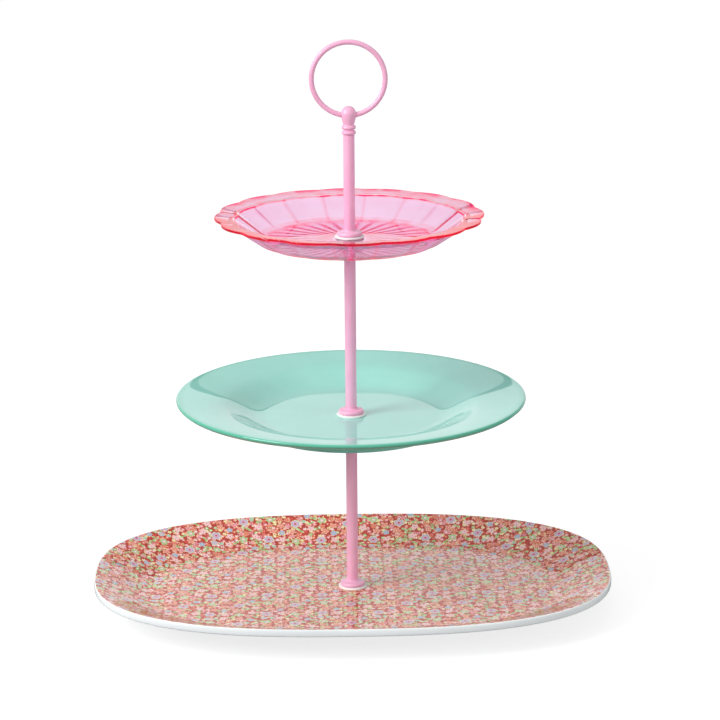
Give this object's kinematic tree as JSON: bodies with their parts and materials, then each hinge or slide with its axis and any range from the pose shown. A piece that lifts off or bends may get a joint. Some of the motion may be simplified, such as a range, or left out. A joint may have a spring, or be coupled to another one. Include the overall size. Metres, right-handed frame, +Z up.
{
  "type": "tiered cake stand",
  "caption": "Tiered cake stand: oblong tray, round plate and scalloped clear dish on a screwed rod with a ring handle; tiers turn and rod sections unscrew.",
  "frame": {"origin": "on the floor, on the rod's axis, at the centre of the tray's footprint", "axes": "+Z up along the rod, +X along the tray's length, +Y towards the tray's back; the ring handle faces Y"},
  "size_m": [0.3, 0.2, 0.3295],
  "materials": {
    "printed_melamine": "glossy melamine with a small flower print on top, white below",
    "mint_melamine": "glossy moulded melamine",
    "clear_pink_acrylic": "clear tinted acrylic, polished",
    "pink_powder_coat": "satin powder coat",
    "white_nylon": "satin moulded nylon",
    "rubber": "matt",
    "steel": "zinc plated",
    "brass": "turned"
  },
  "bodies": {
    "base": {"tray": "printed_melamine", "base_rubber_washer": "rubber"},
    "lower_section": {"base_screw": "steel", "base_steel_washer": "steel", "tray_washer": "white_nylon", "lower_collar": "pink_powder_coat", "lower_tube": "pink_powder_coat", "lower_foot_insert": "brass", "lower_top_insert": "brass", "plate_under_washer": "white_nylon"},
    "plate": {"plate": "mint_melamine"},
    "middle_carrier": {"plate_washer": "white_nylon"},
    "middle_section": {"middle_collar": "pink_powder_coat", "middle_tube": "pink_powder_coat", "middle_stud": "steel", "middle_top_insert": "brass", "dish_under_washer": "white_nylon"},
    "dish": {"dish": "clear_pink_acrylic"},
    "upper_carrier": {"dish_washer": "white_nylon"},
    "upper_section": {"upper_collar": "pink_powder_coat", "upper_tube": "pink_powder_coat", "upper_stud": "steel", "upper_top_insert": "brass", "finial_stud": "steel", "finial": "pink_powder_coat", "ring_handle": "pink_powder_coat"}
  },
  "joints": [
    {"name": "post_turn", "type": "hinge", "parent": "base", "child": "lower_section", "pos_m": [0, 0, 0.0102], "axis": [0, 0, 1], "continuous": true},
    {"name": "plate_turn", "type": "hinge", "parent": "lower_section", "child": "plate", "pos_m": [0, 0, 0.1103], "axis": [0, 0, 1], "continuous": true},
    {"name": "middle_lift", "type": "slide", "parent": "lower_section", "child": "middle_carrier", "axis": [0, 0, 1], "range_m": [0, 0.007]},
    {"name": "middle_unscrew", "type": "hinge", "parent": "middle_carrier", "child": "middle_section", "pos_m": [0, 0, 0.1145], "axis": [0, 0, 1], "range_deg": [0, 3600.5]},
    {"name": "dish_turn", "type": "hinge", "parent": "middle_section", "child": "dish", "pos_m": [0, 0, 0.2151], "axis": [0, 0, 1], "continuous": true},
    {"name": "upper_lift", "type": "slide", "parent": "middle_section", "child": "upper_carrier", "axis": [0, 0, 1], "range_m": [0, 0.007]},
    {"name": "upper_unscrew", "type": "hinge", "parent": "upper_carrier", "child": "upper_section", "pos_m": [0, 0, 0.2188], "axis": [0, 0, 1], "range_deg": [0, 3600.5]}
  ],
  "couplings": [
    {"joint": "middle_unscrew", "follows": "middle_lift", "rad_per_m": 8976},
    {"joint": "upper_unscrew", "follows": "upper_lift", "rad_per_m": 8976}
  ]
}
